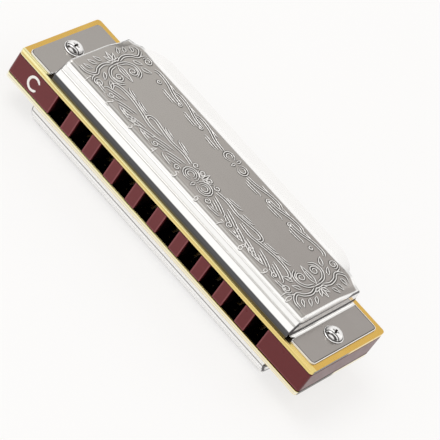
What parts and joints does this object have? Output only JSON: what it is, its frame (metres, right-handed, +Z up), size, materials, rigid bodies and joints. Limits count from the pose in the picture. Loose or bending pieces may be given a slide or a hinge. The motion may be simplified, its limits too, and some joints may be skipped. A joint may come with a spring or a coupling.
{
  "type": "diatonic harmonica",
  "caption": "Mouth-blown free-reed harmonica: a plastic comb with mouth holes between brass reed plates, under steel covers open at the back.",
  "frame": {"origin": "on the ground, below the middle of the whole harmonica lying on its lower cover", "axes": "+X along the holes from the low notes to the high notes, -Y out of the mouth side, +Z up"},
  "size_m": [0.1, 0.0296, 0.0202],
  "materials": {
    "comb": "glossy moulded maroon",
    "reed_plate": "bright rolled brass",
    "reed": "fine ground brass",
    "rivet": "turned brass",
    "cover": "polished stainless sheet",
    "screw": "bright nickel plate"
  },
  "bodies": {
    "root": {"comb": "comb", "upper_reed_plate": "reed_plate", "lower_reed_plate": "reed_plate", "upper_cover": "cover", "lower_cover": "cover", "blow_rivet_1": "rivet", "blow_rivet_2": "rivet", "blow_rivet_3": "rivet", "blow_rivet_4": "rivet", "blow_rivet_5": "rivet", "blow_rivet_6": "rivet", "blow_rivet_7": "rivet", "blow_rivet_8": "rivet", "blow_rivet_9": "rivet", "blow_rivet_10": "rivet", "draw_rivet_1": "rivet", "draw_rivet_2": "rivet", "draw_rivet_3": "rivet", "draw_rivet_4": "rivet", "draw_rivet_5": "rivet", "draw_rivet_6": "rivet", "draw_rivet_7": "rivet", "draw_rivet_8": "rivet", "draw_rivet_9": "rivet", "draw_rivet_10": "rivet", "left_cover_screw": "screw", "right_cover_screw": "screw", "left_cover_nut": "screw", "right_cover_nut": "screw", "plate_screw_1": "screw", "plate_screw_2": "screw", "plate_screw_3": "screw", "plate_screw_4": "screw", "plate_screw_5": "screw"},
    "blow_reed_1": {"blow_reed_1": "reed"},
    "blow_reed_2": {"blow_reed_2": "reed"},
    "blow_reed_3": {"blow_reed_3": "reed"},
    "blow_reed_4": {"blow_reed_4": "reed"},
    "blow_reed_5": {"blow_reed_5": "reed"},
    "blow_reed_6": {"blow_reed_6": "reed"},
    "blow_reed_7": {"blow_reed_7": "reed"},
    "blow_reed_8": {"blow_reed_8": "reed"},
    "blow_reed_9": {"blow_reed_9": "reed"},
    "blow_reed_10": {"blow_reed_10": "reed"},
    "draw_reed_1": {"draw_reed_1": "reed"},
    "draw_reed_2": {"draw_reed_2": "reed"},
    "draw_reed_3": {"draw_reed_3": "reed"},
    "draw_reed_4": {"draw_reed_4": "reed"},
    "draw_reed_5": {"draw_reed_5": "reed"},
    "draw_reed_6": {"draw_reed_6": "reed"},
    "draw_reed_7": {"draw_reed_7": "reed"},
    "draw_reed_8": {"draw_reed_8": "reed"},
    "draw_reed_9": {"draw_reed_9": "reed"},
    "draw_reed_10": {"draw_reed_10": "reed"}
  },
  "joints": [
    {"name": "blow_reed_1_swing", "type": "hinge", "parent": "root", "child": "blow_reed_1", "pos_m": [-0.03375, -0.0096, 0.01292], "axis": [1, 0, 0], "range_deg": [-4, 4], "stiffness_Nm_per_rad": 0.01254},
    {"name": "blow_reed_2_swing", "type": "hinge", "parent": "root", "child": "blow_reed_2", "pos_m": [-0.02625, -0.0096, 0.01292], "axis": [1, 0, 0], "range_deg": [-3.89, 3.89], "stiffness_Nm_per_rad": 0.0176},
    {"name": "blow_reed_3_swing", "type": "hinge", "parent": "root", "child": "blow_reed_3", "pos_m": [-0.01875, -0.0096, 0.01292], "axis": [1, 0, 0], "range_deg": [-3.78, 3.78], "stiffness_Nm_per_rad": 0.02189},
    {"name": "blow_reed_4_swing", "type": "hinge", "parent": "root", "child": "blow_reed_4", "pos_m": [-0.01125, -0.0096, 0.01292], "axis": [1, 0, 0], "range_deg": [-3.67, 3.67], "stiffness_Nm_per_rad": 0.0341},
    {"name": "blow_reed_5_swing", "type": "hinge", "parent": "root", "child": "blow_reed_5", "pos_m": [-0.00375, -0.0096, 0.01292], "axis": [1, 0, 0], "range_deg": [-3.56, 3.56], "stiffness_Nm_per_rad": 0.04702},
    {"name": "blow_reed_6_swing", "type": "hinge", "parent": "root", "child": "blow_reed_6", "pos_m": [0.00375, -0.0096, 0.01292], "axis": [1, 0, 0], "range_deg": [-3.44, 3.44], "stiffness_Nm_per_rad": 0.05737},
    {"name": "blow_reed_7_swing", "type": "hinge", "parent": "root", "child": "blow_reed_7", "pos_m": [0.01125, -0.0096, 0.01292], "axis": [1, 0, 0], "range_deg": [-3.33, 3.33], "stiffness_Nm_per_rad": 0.08753},
    {"name": "blow_reed_8_swing", "type": "hinge", "parent": "root", "child": "blow_reed_8", "pos_m": [0.01875, -0.0096, 0.01292], "axis": [1, 0, 0], "range_deg": [-3.22, 3.22], "stiffness_Nm_per_rad": 0.11796},
    {"name": "blow_reed_9_swing", "type": "hinge", "parent": "root", "child": "blow_reed_9", "pos_m": [0.02625, -0.0096, 0.01292], "axis": [1, 0, 0], "range_deg": [-3.11, 3.11], "stiffness_Nm_per_rad": 0.14029},
    {"name": "blow_reed_10_swing", "type": "hinge", "parent": "root", "child": "blow_reed_10", "pos_m": [0.03375, -0.0096, 0.01292], "axis": [1, 0, 0], "range_deg": [-3, 3], "stiffness_Nm_per_rad": 0.208},
    {"name": "draw_reed_1_swing", "type": "hinge", "parent": "root", "child": "draw_reed_1", "pos_m": [-0.03375, -0.0096, 0.0055], "axis": [1, 0, 0], "range_deg": [-4, 4], "stiffness_Nm_per_rad": 0.0158},
    {"name": "draw_reed_2_swing", "type": "hinge", "parent": "root", "child": "draw_reed_2", "pos_m": [-0.02625, -0.0096, 0.0055], "axis": [1, 0, 0], "range_deg": [-3.89, 3.89], "stiffness_Nm_per_rad": 0.02489},
    {"name": "draw_reed_3_swing", "type": "hinge", "parent": "root", "child": "draw_reed_3", "pos_m": [-0.01875, -0.0096, 0.0055], "axis": [1, 0, 0], "range_deg": [-3.78, 3.78], "stiffness_Nm_per_rad": 0.03475},
    {"name": "draw_reed_4_swing", "type": "hinge", "parent": "root", "child": "draw_reed_4", "pos_m": [-0.01125, -0.0096, 0.0055], "axis": [1, 0, 0], "range_deg": [-3.67, 3.67], "stiffness_Nm_per_rad": 0.04296},
    {"name": "draw_reed_5_swing", "type": "hinge", "parent": "root", "child": "draw_reed_5", "pos_m": [-0.00375, -0.0096, 0.0055], "axis": [1, 0, 0], "range_deg": [-3.56, 3.56], "stiffness_Nm_per_rad": 0.05278},
    {"name": "draw_reed_6_swing", "type": "hinge", "parent": "root", "child": "draw_reed_6", "pos_m": [0.00375, -0.0096, 0.0055], "axis": [1, 0, 0], "range_deg": [-3.44, 3.44], "stiffness_Nm_per_rad": 0.07229},
    {"name": "draw_reed_7_swing", "type": "hinge", "parent": "root", "child": "draw_reed_7", "pos_m": [0.01125, -0.0096, 0.0055], "axis": [1, 0, 0], "range_deg": [-3.33, 3.33], "stiffness_Nm_per_rad": 0.07798},
    {"name": "draw_reed_8_swing", "type": "hinge", "parent": "root", "child": "draw_reed_8", "pos_m": [0.01875, -0.0096, 0.0055], "axis": [1, 0, 0], "range_deg": [-3.22, 3.22], "stiffness_Nm_per_rad": 0.09362},
    {"name": "draw_reed_9_swing", "type": "hinge", "parent": "root", "child": "draw_reed_9", "pos_m": [0.02625, -0.0096, 0.0055], "axis": [1, 0, 0], "range_deg": [-3.11, 3.11], "stiffness_Nm_per_rad": 0.11135},
    {"name": "draw_reed_10_swing", "type": "hinge", "parent": "root", "child": "draw_reed_10", "pos_m": [0.03375, -0.0096, 0.0055], "axis": [1, 0, 0], "range_deg": [-3, 3], "stiffness_Nm_per_rad": 0.14708}
  ]
}
